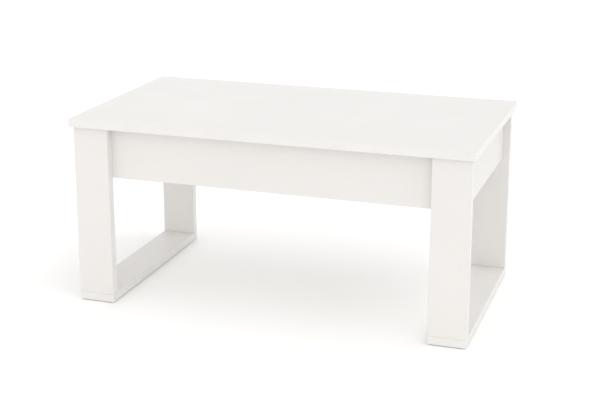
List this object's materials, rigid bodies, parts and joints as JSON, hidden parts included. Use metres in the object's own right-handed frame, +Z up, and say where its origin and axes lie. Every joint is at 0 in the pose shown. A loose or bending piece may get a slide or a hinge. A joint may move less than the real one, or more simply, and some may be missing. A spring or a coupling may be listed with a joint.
{
  "type": "lift top coffee table",
  "caption": "White rectangular coffee table on two board end frames, with a storage case under a top that rises and comes forward on strut-assisted arms.",
  "frame": {"origin": "on the floor, under the middle of the closed table", "axes": "+X along the table's length to the right of a person sitting at its front, +Y to the back, away from that person, +Z up; the top comes forward along -Y"},
  "size_m": [1.1, 0.6, 0.515],
  "materials": {
    "white_laminate": "satin melamine on chipboard",
    "white_edging": "satin edging strip",
    "white_plastic": "moulded, satin",
    "bumper_rubber": "translucent soft pad",
    "zinc_plated_steel": "zinc plated",
    "bright_steel": "polished",
    "black_steel": "satin black paint",
    "black_plastic": "moulded, matte",
    "nylon": "natural nylon",
    "beech": "bare wood"
  },
  "bodies": {
    "base": {"front_apron": "white_laminate", "rear_apron": "white_laminate", "left_side_panel": "white_laminate", "right_side_panel": "white_laminate", "bottom_panel": "white_laminate", "front_left_leg": "white_laminate", "front_right_leg": "white_laminate", "rear_left_leg": "white_laminate", "rear_right_leg": "white_laminate", "left_runner": "white_laminate", "right_runner": "white_laminate", "floor_glides": "white_plastic", "lid_bumpers": "bumper_rubber", "cam_locks": "zinc_plated_steel", "cam_bolts": "zinc_plated_steel", "dowels": "beech", "leg_screws": "zinc_plated_steel", "leg_screw_caps": "white_plastic", "runner_screws": "zinc_plated_steel", "left_base_plate": "zinc_plated_steel", "right_base_plate": "zinc_plated_steel", "base_plate_screws": "zinc_plated_steel", "base_pivot_rivets": "bright_steel", "base_pivot_washers": "nylon", "stop_pins": "bright_steel", "lower_strut_studs": "bright_steel", "lower_strut_clips": "zinc_plated_steel"},
    "left_front_link": {"left_front_arm": "zinc_plated_steel", "left_upper_strut_stud": "bright_steel", "left_upper_strut_clip": "zinc_plated_steel"},
    "right_front_link": {"right_front_arm": "zinc_plated_steel", "right_upper_strut_stud": "bright_steel", "right_upper_strut_clip": "zinc_plated_steel"},
    "left_rear_link": {"left_rear_arm": "zinc_plated_steel"},
    "right_rear_link": {"right_rear_arm": "zinc_plated_steel"},
    "top": {"top_panel": "white_laminate", "top_edging": "white_edging", "left_top_bracket": "zinc_plated_steel", "right_top_bracket": "zinc_plated_steel", "bracket_screws": "zinc_plated_steel", "top_pivot_rivets": "bright_steel", "top_pivot_washers": "nylon"},
    "left_strut_body": {"left_strut_tube": "black_steel", "left_strut_lower_eye": "black_plastic", "left_strut_gland": "black_plastic"},
    "right_strut_body": {"right_strut_tube": "black_steel", "right_strut_lower_eye": "black_plastic", "right_strut_gland": "black_plastic"},
    "left_strut_piston_rod": {"left_strut_rod": "bright_steel", "left_strut_piston": "black_plastic", "left_strut_upper_eye": "black_plastic"},
    "right_strut_piston_rod": {"right_strut_rod": "bright_steel", "right_strut_piston": "black_plastic", "right_strut_upper_eye": "black_plastic"}
  },
  "joints": [
    {"name": "top_lift", "type": "hinge", "parent": "base", "child": "left_front_link", "pos_m": [-0.4995, -0.18, 0.468], "axis": [1, 0, 0], "range_deg": [0, 95]},
    {"name": "right_front_arm_swing", "type": "hinge", "parent": "base", "child": "right_front_link", "pos_m": [0.4995, -0.18, 0.468], "axis": [1, 0, 0], "range_deg": [0, 95]},
    {"name": "left_rear_arm_swing", "type": "hinge", "parent": "base", "child": "left_rear_link", "pos_m": [-0.4995, -0.11505, 0.4305], "axis": [1, 0, 0], "range_deg": [0, 95]},
    {"name": "right_rear_arm_swing", "type": "hinge", "parent": "base", "child": "right_rear_link", "pos_m": [0.4995, -0.11505, 0.4305], "axis": [1, 0, 0], "range_deg": [0, 95]},
    {"name": "top_levelling", "type": "hinge", "parent": "left_front_link", "child": "top", "pos_m": [-0.4995, -0.00025, 0.47742], "axis": [1, 0, 0], "range_deg": [-95, 0]},
    {"name": "left_strut_foot_swing", "type": "hinge", "parent": "base", "child": "left_strut_body", "pos_m": [-0.485, -0.16088, 0.38518], "axis": [1, 0, 0], "range_deg": [0, 47.5]},
    {"name": "right_strut_foot_swing", "type": "hinge", "parent": "base", "child": "right_strut_body", "pos_m": [0.485, -0.16088, 0.38518], "axis": [1, 0, 0], "range_deg": [0, 47.5]},
    {"name": "left_strut_rod_swing", "type": "hinge", "parent": "left_front_link", "child": "left_strut_piston_rod", "pos_m": [-0.485, -0.09512, 0.47245], "axis": [1, 0, 0], "range_deg": [-47.5, 0]},
    {"name": "right_strut_rod_swing", "type": "hinge", "parent": "right_front_link", "child": "right_strut_piston_rod", "pos_m": [0.485, -0.09512, 0.47245], "axis": [1, 0, 0], "range_deg": [-47.5, 0]}
  ],
  "couplings": [
    {"joint": "right_front_arm_swing", "follows": "top_lift", "ratio": 1},
    {"joint": "left_rear_arm_swing", "follows": "top_lift", "ratio": 1},
    {"joint": "right_rear_arm_swing", "follows": "top_lift", "ratio": 1},
    {"joint": "top_levelling", "follows": "top_lift", "ratio": -1},
    {"joint": "left_strut_foot_swing", "follows": "top_lift", "ratio": 0.5},
    {"joint": "right_strut_foot_swing", "follows": "top_lift", "ratio": 0.5},
    {"joint": "left_strut_rod_swing", "follows": "top_lift", "ratio": -0.5},
    {"joint": "right_strut_rod_swing", "follows": "top_lift", "ratio": -0.5}
  ]
}
